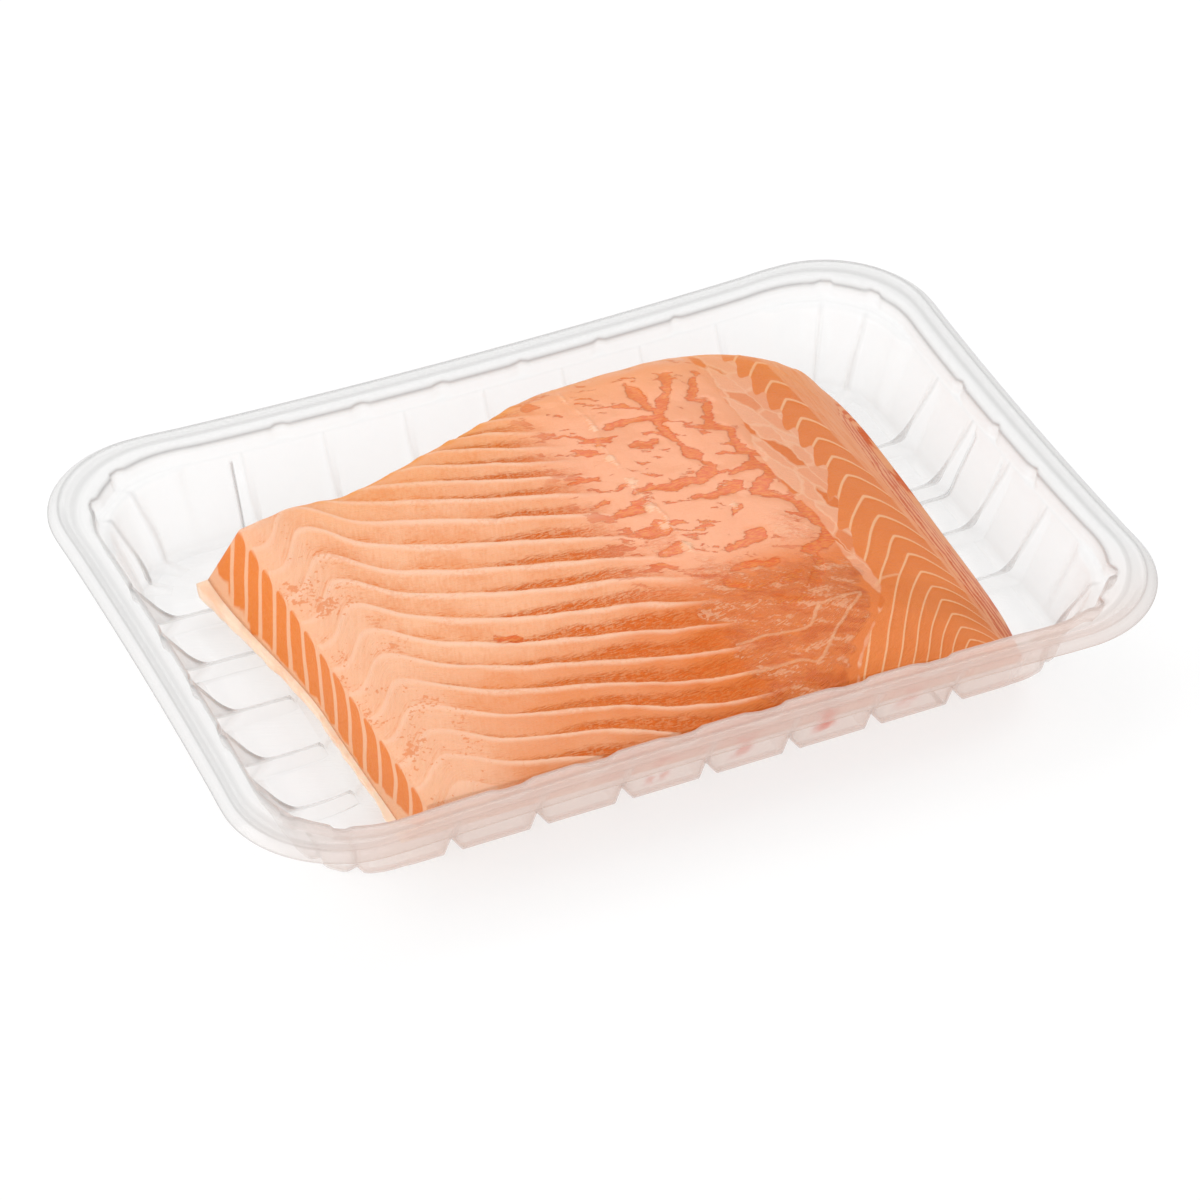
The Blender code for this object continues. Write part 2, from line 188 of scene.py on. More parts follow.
def through(stations, at):
    """A smooth curve through (place, value) stations, read at an array of places."""
    places, values = np.array(stations, float).T
    slopes = np.empty(len(places))
    slopes[1:-1] = (values[2:] - values[:-2]) / (places[2:] - places[:-2])
    slopes[0] = (values[1] - values[0]) / (places[1] - places[0])
    slopes[-1] = (values[-1] - values[-2]) / (places[-1] - places[-2])
    at = np.clip(at, places[0], places[-1])
    index = np.clip(np.searchsorted(places, at, side="right") - 1, 0, len(places) - 2)
    width = places[index + 1] - places[index]
    share = (at - places[index]) / width
    rest = 1.0 - share
    ends = values[index] * rest ** 2 * (1 + 2 * share) + values[index + 1] * share ** 2 * (3 - 2 * share)
    return ends + width * (slopes[index] * share * rest ** 2 - slopes[index + 1] * share ** 2 * rest)


def rough(x, y, size, seed, octaves=1):
    """Smooth noise from about -1 to 1 on arrays of places, with features of about this size."""
    flat = zip(np.ravel(x) / size, np.ravel(y) / size)
    if octaves == 1:
        values = [noise.noise(Vector((a, b, seed))) for a, b in flat]
    else:
        values = [noise.fractal(Vector((a, b, seed)), 1.0, 2.0, octaves) for a, b in flat]
    return np.array(values).reshape(np.shape(x))


def linear(red, green, blue):
    """A colour as a screen shows it, 0 to 255, as the light that a shader takes."""
    parts = []
    for value in (red, green, blue):
        value /= 255.0
        parts.append(value / 12.92 if value <= 0.04045 else ((value + 0.055) / 1.055) ** 2.4)
    return tuple(parts)


def seen(red, green, blue):
    """The surface colour that looks like this on a screen under the studio's light, gloss included."""
    lights = linear(red, green, blue)
    return tuple(max(light * STUDIO_SHARE - gloss, 0.0) for light, gloss in zip(lights, GLOSS))


STUDIO_SHARE = 0.86
GLOSS = (0.01, 0.02, 0.025)
PEACH, RUDDY = seen(252, 190, 150), seen(232, 128, 68)
ORANGE, CREAM = seen(230, 112, 40), seen(255, 208, 178)


# Mesh making

def finished(name, shape, look, replaced):
    """Makes a piece of a bmesh drawn in millimetres and hands it to the frame."""
    bmesh.ops.scale(shape, vec=(MM, MM, MM), verts=shape.verts)
    mesh = bpy.data.meshes.new(name)
    shape.to_mesh(mesh)
    shape.free()
    mesh.shade_smooth()
    piece = bpy.data.objects.new(name, mesh)
    bpy.context.scene.collection.objects.link(piece)
    mesh.materials.append(look)
    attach(piece, "root")
    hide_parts(replaced)
    return piece


def extruded(shape, edges, loop):
    """Extrudes a closed loop of edges. Gives the new edges, and its vertices in the old ones' order."""
    made = bmesh.ops.extrude_edge_only(shape, edges=edges)["geom"]
    fresh = {part for part in made if isinstance(part, bmesh.types.BMVert)}
    rim = [part for part in made if isinstance(part, bmesh.types.BMEdge) and fresh.issuperset(part.verts)]
    follower = []
    for vert in loop:
        ends = [edge.other_vert(vert) for edge in vert.link_edges]
        follower.append(next(end for end in ends if end in fresh))
    return rim, follower


def add_layer(mesh, name, values):
    """Keeps a number for each vertex, which the material reads by its name."""
    layer = mesh.attributes.new(name, "FLOAT", "POINT")
    layer.data.foreach_set("value", np.asarray(values, np.float32))


def add_vectors(mesh, name, parts):
    """Keeps a vector for each vertex, given as its three parts."""
    layer = mesh.attributes.new(name, "FLOAT_VECTOR", "POINT")
    layer.data.foreach_set("vector", np.stack(parts, axis=1).ravel())


# Shader making

class Value:
    """One socket of a node tree, with arithmetic that adds Math nodes."""

    def __init__(self, tree, socket):
        self.tree = tree
        self.socket = socket

    def math(self, operation, *others):
        return add_node(self.tree, "ShaderNodeMath", {"operation": operation}, (self, *others))

    def __add__(self, other):
        return self.math("ADD", other)

    def __radd__(self, other):
        return self.math("ADD", other)

    def __sub__(self, other):
        return self.math("SUBTRACT", other)

    def __rsub__(self, other):
        return add_node(self.tree, "ShaderNodeMath", {"operation": "SUBTRACT"}, (other, self))

    def __mul__(self, other):
        return self.math("MULTIPLY", other)

    def __rmul__(self, other):
        return self.math("MULTIPLY", other)

    def __pow__(self, other):
        return self.math("POWER", other)

    def clamped(self):
        return self.math("MAXIMUM", 0.0).math("MINIMUM", 1.0)

    def step(self, low, high):
        """0 at low, 1 at high, and smooth between."""
        settings = {"interpolation_type": "SMOOTHSTEP"}
        return add_node(self.tree, "ShaderNodeMapRange", settings, (self, low, high, 0.0, 1.0))


def add_node(tree, kind, settings=None, inputs=(), output=0):
    """Adds any node. Inputs are the values or links of its sockets, in order or by name."""
    node = tree.nodes.new(kind)
    for key, setting in (settings or {}).items():
        setattr(node, key, setting)
    named = inputs.items() if isinstance(inputs, dict) else enumerate(inputs)
    for key, given in named:
        if isinstance(given, Value):
            tree.links.new(given.socket, node.inputs[key])
        elif given is not None:
            node.inputs[key].default_value = given
    return Value(tree, node.outputs[output])


def mixed(tree, share, first, second):
    """A colour between two colours, each a tuple or a link."""
    ends = [(*given, 1.0) if isinstance(given, tuple) else given for given in (first, second)]
    settings = {"data_type": "RGBA"}
    return add_node(tree, "ShaderNodeMix", settings, {0: share, 6: ends[0], 7: ends[1]}, output=2)


def attribute(tree, name, output=2):
    """A number of the mesh by its name, or with output 1 a vector."""
    return add_node(tree, "ShaderNodeAttribute", {"attribute_name": name}, output=output)


def grain(tree, place, scale, detail=2.0, distortion=0.0):
    """Blender's noise, 0 to 1."""
    inputs = {"Vector": place, "Scale": scale, "Detail": detail, "Distortion": distortion}
    return add_node(tree, "ShaderNodeTexNoise", {}, inputs)


def fresh_material(name):
    """A material with its tree, and the place in the object's own coordinates, in metres."""
    made = bpy.data.materials.new(name)
    made.use_nodes = True
    tree = made.node_tree
    place = add_node(tree, "ShaderNodeTexCoord", output=3)
    return made, tree, tree.nodes["Principled BSDF"], place


def stretched(tree, place, turn, stretch):
    """The place turned about Z and scaled along each of its new axes."""
    settings = {"vector_type": "TEXTURE"}
    inputs = {"Vector": place, "Rotation": (0.0, 0.0, turn), "Scale": stretch}
    return add_node(tree, "ShaderNodeMapping", settings, inputs)


def bump(tree, height, strength, distance):
    inputs = {"Strength": strength, "Distance": distance, "Height": height}
    return add_node(tree, "ShaderNodeBump", {}, inputs)


def feed(tree, shader, name, value):
    """Links a value to a shader's socket."""
    tree.links.new(value.socket, shader.inputs[name])


# Tray

def ribs_along(side):
    """Where the ribs of one side stand, measured along it from its middle."""
    count = RIB_COUNT[side]
    return [(index - (count - 1) / 2) * RIB_PITCH[side] + RIB_SHIFT[side] for index in range(count)]


def side_after(side):
    return SIDES[(SIDES.index(side) + 1) % 4]


def corner_radius(inset):
    """The radius of the sheet's corners at an inset from the rim's edge."""
    share = min(max(inset / RIM_WIDTH, 0.0), 1.0)
    radius = RIM_CORNER_RADIUS + (INNER_CORNER_RADIUS - RIM_CORNER_RADIUS) * share - min(inset, 0.0)
    return max(radius - CORNER_TIGHTENS * max(inset - RIM_WIDTH, 0.0), SMALLEST_CORNER_RADIUS)


def rim_place(side, along, angle, inset):
    """The point at this inset of one column, on a rounded rectangle inside the rim's."""
    out = OUTWARD[side]
    on = Vector((-out.y, out.x))
    half_across = HALF_OUT[side_after(side)]
    radius = corner_radius(inset)
    straight = half_across - inset - radius
    if angle:
        centre = out * (HALF_OUT[side] - inset - radius) + on * straight
        return centre + (out * math.cos(angle) + on * math.sin(angle)) * radius
    kept = max(abs(place) for place in ribs_along(side)) + RIB_HALF_WIDTH
    drawn_in = min(1.0, (straight - 1.0) / kept)
    spread = (straight - kept * drawn_in) / (half_across - RIM_CORNER_RADIUS - kept)
    beyond = max(abs(along) - kept, 0.0) * spread
    reach = min(abs(along), kept) * drawn_in + beyond
    return out * (HALF_OUT[side] - inset) + on * math.copysign(reach, along)


def tray_columns():
    """The sheet's columns, counter-clockwise: side, place along it or corner angle, distance to the nearest
    rib as a share of the rib's half width, the same for the nearest lug, and how near a corner it is."""
    found = []
    for side in SIDES:
        half = HALF_OUT[side_after(side)] - RIM_CORNER_RADIUS
        ribs = ribs_along(side)
        lugs = [place + RIB_PITCH[side] / 2 for place in ribs[:-1]]
        places = set(np.linspace(-half, half, round(half / COLUMN_PITCH) + 1)[:-1])
        for rib in ribs:
            places = {place for place in places if abs(place - rib) > RIB_HALF_WIDTH}
            places |= {rib + RIB_HALF_WIDTH * share for share in RIB_COLUMNS}
        for along in sorted(places):
            to_rib = min(abs(along - rib) for rib in ribs) / RIB_HALF_WIDTH
            to_lug = min(abs(along - lug) for lug in lugs) / LUG_HALF_WIDTH[side]
            near = float(blend(half - 9.0, half, abs(along)))
            found.append((side, along, 0.0, to_rib, to_lug, near))
        for step in range(round(90.0 / CORNER_STEP)):
            turned = CORNER_STEP * step
            to_rib = min(abs(turned - rib) for rib in CORNER_RIB_ANGLES) / CORNER_RIB_HALF_ANGLE
            found.append((side, half, max(math.radians(turned), 1e-4), to_rib, to_rib, 1.0))
    return found


def tray_profile():
    """Each ring from the lip to the floor: panel inset and height, rib inset and height, share of the corner
    ledge, of a corner's rib, of the long sides' rib setback and of a lug's depth, and its painted shade and
    dark reflection."""
    top = TRAY_HEIGHT - SHEET
    ledge = top - CORNER_LEDGE_DROP
    rib = RIB_HEIGHT
    rings = []

    def flat(inset, height, ledge_share=0.0, lug=0.0, painted_dark=0.0):
        rings.append((inset, height, inset, height, ledge_share, 1.0, 0.0, lug, painted_dark))

    # Painted shade: each ring's last number is how dark the clear sheet is painted there, standing for shade
    # and dark reflections in it
    flat(-LIP_REACH, top - LIP_DROP, painted_dark=0.6)
    flat(-2.5, top - 1.75, painted_dark=0.3)
    flat(-1.3, top - 0.85, painted_dark=0.22)
    flat(-0.5, top - 0.28, painted_dark=0.28)
    flat(-0.15, top - 0.05, painted_dark=0.6)
    flat(0.25, top - 0.02, painted_dark=0.5)
    flat(0.7, top - 0.12, painted_dark=0.34)
    flat(1.3, top - 0.42, painted_dark=0.4)
    flat(3.2, top - 0.5, painted_dark=0.4)
    flat(3.7, top - 0.2, painted_dark=0.34)
    flat(4.3, top - 0.05, painted_dark=0.24)
    flat(6.1, top - 0.1, lug=0.2, painted_dark=0.26)
    flat(6.7, top - 0.18, lug=0.5, painted_dark=0.28)
    flat(7.2, top - 0.45, lug=0.7, painted_dark=0.4)
    flat(7.5, top - 0.9, lug=0.85, painted_dark=0.75)
    flat(7.75, top - 1.8, lug=1.0, painted_dark=0.2)
    flat(8.0, top - 2.8, lug=1.0, painted_dark=0.1)
    flat(8.3, top - 4.2, lug=1.0)
    flat(8.5, ledge, lug=0.8)
    flat(8.65, ledge - 0.25, ledge_share=0.35, lug=0.3, painted_dark=0.2)
    flat(8.9, ledge - 0.5, ledge_share=0.95, painted_dark=0.2)
    rings += [
        (9.1, 21.2, 9.3, 21.2, 1, 1.0, 0, 0, 0),
        (9.7, 19.2, 10.4, 19.2, 1, 0.9, 0, 0, 0),
        (10.9, 16.3, 12.2, 16.4, 0.95, 0.85, 0.1, 0, 0),
        (12.3, 13.4, 14.3, 13.6, 0.85, 0.8, 0.2, 0, 0),
        (13.7, 10.5, 16.4, 10.8, 0.75, 0.75, 0.3, 0, 0),
        (14.9, 8.0, 18.2, 8.4, 0.6, 0.7, 0.4, 0, 0),
        (16.0, 5.4, 19.8, 6.6, 0.5, 0.6, 0.65, 0, 0),
        (16.8, 3.4, 21.2, rib + 1.9, 0.4, 0.5, 0.85, 0, 0),
        (17.4, 2.0, 22.4, rib + 1.0, 0.3, 0.45, 0.95, 0, 0.1),
        (18.1, 0.9, 23.6, rib + 0.45, 0.15, 0.35, 1, 0, 0.2),
        (19.0, 0.25, 24.9, rib + 0.15, 0, 0.25, 1, 0, 0.1),
        (21.5, 0.0, 27.0, rib, 0, 0.1, 1, 0, 0),
        (26.0, 0.0, 30.0, rib, 0, 0, 0.6, 0, 0),
        (32.0, 0.0, 34.5, rib, 0, 0, 0.2, 0, 0),
        (RIB_END_INSET, 0.0, RIB_END_INSET, rib, 0, 0, 0, 0, 0),
        (FLOOR_PANEL_INSET, 0.0, FLOOR_PANEL_INSET, 0.0, 0, 0, 0, 0, 0),
    ]
    return rings


def tray_point(column, ring):
    """Where one column and one ring of the sheet cross."""
    side, along, angle, to_rib, to_lug, near_corner = column
    panel_inset, panel_z, rib_inset, rib_z, ledge_share, corner_share, setback_share, lug_share, _ = ring
    long_side = side in ("back", "front")
    if long_side and not angle:
        rib_inset -= LONG_SIDE_RIB_SETBACK * setback_share
    crest = max(1.0 - to_rib, 0.0) ** 1.1
    keep = crest * (corner_share if angle else 1.0)
    inset = panel_inset + (rib_inset - panel_inset) * keep
    height = panel_z + (rib_z - panel_z) * keep
    inset += CORNER_LEDGE * ledge_share * near_corner
    inset -= LUG_DEPTH[side] * lug_share * float(blend(1.0, 0.4, to_lug))
    place = rim_place(side, along, angle, inset)
    half_on = HALF_OUT[side_after(side)] - RIM_CORNER_RADIUS
    middle = 0.0 if angle else 1.0 - (along / half_on) ** 2
    middle *= float(blend(1.0, 0.86, abs(along) / half_on)) * float(blend(0.0, TRAY_HEIGHT, height))
    bow = LONG_SIDE_BOW if long_side else SHORT_SIDE_BOW
    sag = LONG_SIDE_SAG if long_side else SHORT_SIDE_SAG
    place -= OUTWARD[side] * (bow * middle)
    return Vector((place.x, place.y, height - sag * middle))


def by_side(column, table):
    """The number of a column's side, which turns into the next side's along the corner."""
    turned = column[2] / (math.pi / 2)
    return table[column[0]] * (1.0 - turned) + table[side_after(column[0])] * turned


def tray():
    """The sheet: one ring of its rim, extruded down to its floor panel, and given its thickness."""
    around = tray_columns()
    rings = tray_profile()
    shape = bmesh.new()
    loop = [shape.verts.new(tray_point(column, rings[0])) for column in around]
    edges = [shape.edges.new((loop[index - 1], loop[index])) for index in range(len(loop))]
    painted_shade = [rings[0][-1]] * len(loop)
    for ring in rings[1:]:
        edges, loop = extruded(shape, edges, loop)
        for vert, column in zip(loop, around):
            vert.co = tray_point(column, ring)
            # Painted shade in the wall creases and on the rim, scaled per side where the light leaves the
            # sheet darker
            crease = max(1.0 - column[3] * 4.0, 0.0) * (0.7 if 1.0 < ring[1] < 22.0 else 0.0)
            on_rim = ring[1] > TRAY_HEIGHT - 3.0
            painted_shade.append(ring[-1] if on_rim else max(ring[-1], crease) * by_side(column, CREASE_PAINTED_SHADE))
    bmesh.ops.contextual_create(shape, geom=edges)
    bmesh.ops.recalc_face_normals(shape, faces=shape.faces)
    floor = max(shape.faces, key=lambda face: len(face.verts))
    if floor.normal.z < 0:
        bmesh.ops.reverse_faces(shape, faces=shape.faces)
    piece = finished("clear_tray", shape, clear_plastic(), "tray")
    add_layer(piece.data, "painted_shade", painted_shade)
    add_layer(piece.data, "painted_glow", [by_side(column, PAINTED_GLOW) for column in around] * len(rings))
    add_layer(piece.data, "painted_see_through", [painted_see_through(column, ring) for ring in rings for column in around])
    wall = piece.modifiers.new("wall", "SOLIDIFY")
    wall.thickness = SHEET * MM
    wall.offset = 1.0
    wall.use_even_offset = False


def painted_see_through(column, ring):
    """Painted red of the flesh showing through the wall where it lies wet against it, at a few places of the
    front side.
    """
    side, along, angle = column[:3]
    if side != "front" or angle:
        return 0.0
    level = float(blend(5.0, 9.0, ring[1]) * blend(23.0, 17.0, ring[1]))
    near = [share * float(blend(SEE_THROUGH_REACH, 1.0, abs(along - place))) for place, share in SEE_THROUGH_PATCHES]
    return level * max(near)


def clear_plastic():
    made, tree, shader, place = fresh_material("clear plastic sheet")
    # Painted shade and dark reflections: a dark grey mixed into the clear sheet, which also makes it less
    # clear there
    painted_dark = attribute(tree, "painted_shade")
    facing = add_node(tree, "ShaderNodeLayerWeight", {}, {"Blend": 0.5}, output=1)
    # Painted glow: a pale pink veil on the front wall that brightens the shade behind it and stands for the
    # flesh's colour coming through
    painted_glow = attribute(tree, "painted_glow")
    veil = (0.08 + 0.6 * facing ** 2.6 + 0.45 * painted_dark + painted_glow).clamped()
    # Painted red of the flesh showing through the front wall, in noisy blotches
    blotch = attribute(tree, "painted_see_through") * grain(tree, place, 250.0, 2.0).step(0.35, 0.6)
    veil = (veil + blotch * 0.2).clamped()
    colour = mixed(tree, painted_dark, linear(228, 227, 226), linear(126, 125, 124))
    colour = mixed(tree, painted_glow * PAINTED_GLOW_TO_TINT, colour, linear(228, 192, 174))
    colour = mixed(tree, blotch, colour, linear(214, 96, 66))
    feed(tree, shader, "Base Color", colour)
    shader.inputs["Roughness"].default_value = 0.08
    shader.inputs["IOR"].default_value = 1.5
    clear = add_node(tree, "ShaderNodeBsdfTransparent")
    both = add_node(tree, "ShaderNodeMixShader", {}, (veil, clear, Value(tree, shader.outputs[0])))
    feed(tree, tree.nodes["Material Output"], "Surface", both)
    return made


# Fillet

def left_edge(y):
    return through([(-76, -84.0), (-20, -86.0), (47, -86.5)], y)


def right_edge(y):
    stations = [(-76, 90.0), (-52, 94.0), (-10, 95.5), (20, 96.2), (40, 96.0), (54, 94.0), (64, 90.0)]
    return through(stations, y)


def back_edge(x):
    stations = [(-92, 43.5), (-70, 48.0), (-54, 47.0), (-20, 56.0), (10, 64.0), (28, 64.8)]
    stations += [(52, 64.5), (72, 63.5), (90, 58.5)]
    return through(stations, x)


def top_height(x, y):
    """How high the flesh stands over the surface below the tray, without its flakes."""
    crest = [(-92, 27.8), (-55, 28.0), (-20, 29.8), (25, 32.0), (52, 31.6), (78, 23.6), (97, 11.5)]
    front_drop = [(-92, 2.6), (-50, 3.6), (0, 6.6), (28, 7.8), (52, 7.4), (78, 4.0), (97, 1.5)]
    back_drop = [(-92, 0.0), (-40, 0.6), (20, 1.8), (60, 1.2), (97, -3.0)]
    front = through(front_drop, x) * ((y - CREST_Y) / FRONT_SLOPE_LENGTH) ** 2
    back = through(back_drop, x) * ((y - CREST_Y) / BACK_SLOPE_LENGTH) ** 2
    return through(crest, x) - np.where(y < CREST_Y, front, back)


def front_edge(x, level):
    """Y of the front side at a level from 0 at its foot to 1 at its top: it lies against the tray's wall."""
    top = top_height(x, np.full_like(x, FRONT_EDGE))
    height = FLESH_FOOT + (top - FLESH_FOOT) * level
    return through([(4.4, -69.6), (7.0, -71.4), (12.0, -74.4), (19.0, -78.4), (24.0, -79.2)], height)


def outline_point(along, across, level=1.0):
    """A point of the plan from shares 0 to 1 along X and across Y, with the four sides as its borders."""
    y_guess = FRONT_EDGE + across * 136
    x = left_edge(y_guess) + (right_edge(y_guess) - left_edge(y_guess)) * along
    front = front_edge(x, level)
    y = front + (back_edge(x) - front) * across
    x = left_edge(y) + (right_edge(y) - left_edge(y)) * along
    return x, y


def side_point(along, across, level):
    """A point of a side, which leans out towards its foot, at a level from 0 at the foot to 1 at the top."""
    x, y = outline_point(along, across, level)
    foot = 1.0 - level
    left = LEFT_FACE_LEAN * (0.18 + 0.82 * blend(0.45, 1.0, across))
    x = x + (RIGHT_FACE_LEAN * along ** 12 - left * (1.0 - along) ** 12) * foot
    y = y + BACK_FACE_LEAN * foot * across ** 12
    return x, y


def fat_top(x, y):
    """The face where flesh and pale layer meet: one plane, thickest at the back left corner."""
    thickness = FAT_THICKNESS_LEFT_FRONT + FAT_THICKENS_BACKWARDS * (y + 70)
    return FISH_BASE + thickness - FAT_THINS_RIGHTWARDS * (x + 87)


def near_path(x, y, path):
    """How far inside a row of (x, y, half width) each place is, in millimetres, and below 0 outside it."""
    best = np.full(np.shape(x), -50.0)
    for (x0, y0, half0), (x1, y1, half1) in zip(path[:-1], path[1:]):
        run_x, run_y = x1 - x0, y1 - y0
        share = np.clip(((x - x0) * run_x + (y - y0) * run_y) / (run_x ** 2 + run_y ** 2), 0.0, 1.0)
        away = np.hypot(x - x0 - share * run_x, y - y0 - share * run_y)
        best = np.maximum(best, half0 + (half1 - half0) * share - away)
    return best


def grain_axes(x, y):
    """Places along and across the raised lines."""
    along = x * math.cos(GRAIN_TURN) + y * math.sin(GRAIN_TURN)
    return along, -x * math.sin(GRAIN_TURN) + y * math.cos(GRAIN_TURN)


def flake_phase(x, y):
    """A field whose whole numbers are the raised lines, which run along the grain and hook at the cut."""
    along, across = grain_axes(x, y)
    hook = through([(-78, 1.5), (-20, 5.0), (36, 8.5)], y) * np.exp(-((x - HOOK_X) / 8.5) ** 2)
    hook = hook - 10.0 * blend(-72, -85, x)
    rise = 0.008 * np.maximum(along - 15.0, 0.0) ** 2 * blend(-12, -30, across)
    rise = rise + 3.8 * blend(-28, 14, along) * blend(0, -24, across)
    wander = 1.0 * rough(x, y, 26.0, 0.3) + 0.45 * rough(x, y, 9.0, 2.3)
    stations = [(-100, -1), (-90.5, 0), (-55.3, 4), (-15.6, 8), (5, 10), (22, 12), (43, 15), (80, 20)]
    return through(stations, across - hook - rise + wander)


def chevron_phase(x, y):
    """A field whose whole numbers are the V shaped lines on the thin right side."""
    left = 13.0 * (np.maximum(CHEVRON_X - x, 0.0) / 10.0) ** 1.1
    right = 17.0 * (np.maximum(x - CHEVRON_X, 0.0) / 14.0) ** 2
    down = y + left + right + 0.9 * rough(x, y, 12.0, 7.7)
    return (down + 58.0) / CHEVRON_PITCH - CHEVRONS_CROWD * np.maximum(-25.0 - down, 0.0) ** 2


def smoothed(path):
    """A row of points with a smooth curve's points between its own."""
    at = np.linspace(0, len(path) - 1, 3 * len(path) - 2)
    return list(zip(*(through(list(enumerate(values)), at) for values in zip(*path))))


def line_fields(x, y):
    """The raised lines: their count, where they show, where they hook, and how wide the orange gaps are."""
    along, across = grain_axes(x, y)
    ends = through([(-95, 66), (-60, 50), (-25, 28), (0, 8), (20, -2), (45, -16)], across)
    opening = [(-2, 0.0), (8, 0.16), (22, 0.38), (43, 0.62), (75, 0.85)]
    patchy = 0.16 * rough(along, across * 2.0, 16.0, 3.3, 2) * blend(-12, 8, along + 42)
    return {
        "flake": flake_phase(x, y),
        "lined": blend(ends + 6, ends - 16, along),
        "hooked": blend(-68, -80, x + 0.12 * (y - 40)),
        "gape": through(opening, along + 42 + 0.233 * across) + patchy,
    }


def thin_side_fields(x, y):
    """The V shaped lines, the band of pale cells and the fatty right edge, and the band's left border."""
    chevron = chevron_phase(x, y)
    seam_front = [(-82, 37.5), (-75, 41.0), (-66, 48.5), (-59, 55.0)]
    band_left = [(-52, 57.5), (-36, 56), (-19, 56.5), (-5, 54), (12, 53.5), (24, 56), (60, 56)]
    band_left = through(seam_front + band_left, y)
    band_right = [(-53, 59), (-36, 60), (-20, 61.5), (-10, 65), (0, 68), (30, 68), (60, 66)]
    band_right = through(seam_front + band_right, y) + 0.6
    segments_end = band_right + 1.8 * np.cos(2 * math.pi * chevron) * blend(-45, -25, y)
    ragged = 0.9 * rough(x, y, 5.0, 17.0, 2)
    fat_left = through([(-70, 84.5), (-45, 84.6), (-20, 84.5), (0, 84), (18, 82), (38, 80), (60, 77)], y)
    fat_right = [(-70, 86), (-20, 86.4), (0, 87), (17, 89), (36, 91), (43, 94), (50, 96), (60, 100)]
    fat_right = through(fat_right, y)
    fields = {
        "chevron": chevron,
        "chevroned": x - segments_end - ragged,
        "band": np.minimum(x - band_left, segments_end - x) + ragged,
        "edge_fat": np.minimum(x - fat_left, fat_right - x),
        "beyond": x - fat_right + 0.35 * rough(x * 2, y, 9.0, 19.0),
    }
    return fields, band_left


def middle_fields(x, y, warped_x, warped_y, band_left):
    """The smooth middle with its wrinkles, pale lines, pin bones and wet grainy patches."""
    wrinkles = [near_path(warped_x, warped_y, path) for path in WRINKLES]
    soft_x = x + 0.5 * rough(x, y, 6.0, 31.0)
    soft_y = y + 0.5 * rough(x, y, 6.0, 32.0)
    membranes = [smoothed([(*point, 0.0) for point in path]) for path in MEMBRANES]
    knobs = [1.0 - np.hypot(soft_x - a, (soft_y - b) * 0.8) / size for a, b, size in KNOBS]
    seam = through(PIN_BONES, y) + 0.9 * rough(x, y, 4.0, 61.0)
    broken = blend(-0.25, 0.15, rough(x, y, 5.0, 62.0))
    patches = np.max([1.0 - np.hypot(x - a, y - b) / size for a, b, size in GRANULAR], axis=0)
    wide = blend(2, 20, x) * blend(band_left, band_left - 5, x) * blend(-24, -40, y)
    along, across = grain_axes(x, y)
    uneven = 0.5 * rough(along, across * 2.0, 5.0, 81.0, 2)
    return {
        "smooth": blend(-12, 10, x) * blend(band_left + 1, band_left - 2, x) * blend(-40, -20, y),
        "wrinkle": np.max(wrinkles, axis=0) + 0.2,
        "membrane": np.max([near_path(soft_x, soft_y, path) for path in membranes], axis=0),
        "knob": np.max(knobs, axis=0),
        "seam": blend(0.9, 0.1, np.abs(x - seam)) * blend(-24, -16, y) * broken,
        "granular": np.maximum(patches, wide - 0.4) + uneven,
    }


def tone_fields(x, y):
    """Where the flesh is redder, where it is deep orange, and where light comes through its back edge."""
    low_right = 0.6 * blend(-10, 35, x) * blend(-20, -44, y)
    front = 0.5 * blend(-20, -60, y) * blend(-84, -45, x)
    ruddy = blend(-75, 50, x) * 0.5 + low_right + front + 0.12 * rough(x, y, 14.0, 41.0, 2)
    from_back = back_edge(x) - y + 1.2 * rough(x, y, 6.0, 91.0)
    glow = 0.65 * blend(3.0, 0.3, from_back) + 0.35 * blend(28.0, 0.0, from_back)
    return {
        "ruddy": np.clip(ruddy, 0.0, 1.0),
        "deep": blend(-18, 25, x) * blend(-20, -52, y) * (0.85 + 0.5 * rough(x, y, 9.0, 42.0, 2)),
        "back_glow": glow * blend(-84, -50, x),
    }


def fillet_fields(x, y):
    """Every pattern of the top at arrays of places, and the places moved about by noise."""
    warped_x = x + 1.3 * rough(x, y, 7.0, 11.0) + 0.8 * rough(x, y, 2.4, 12.0)
    warped_y = y + 1.3 * rough(x, y, 7.0, 13.0) + 0.8 * rough(x, y, 2.4, 14.0)
    side, band_left = thin_side_fields(x, y)
    middle = middle_fields(x, y, warped_x, warped_y, band_left)
    return {**line_fields(x, y), **side, **middle, **tone_fields(x, y)}, warped_x, warped_y


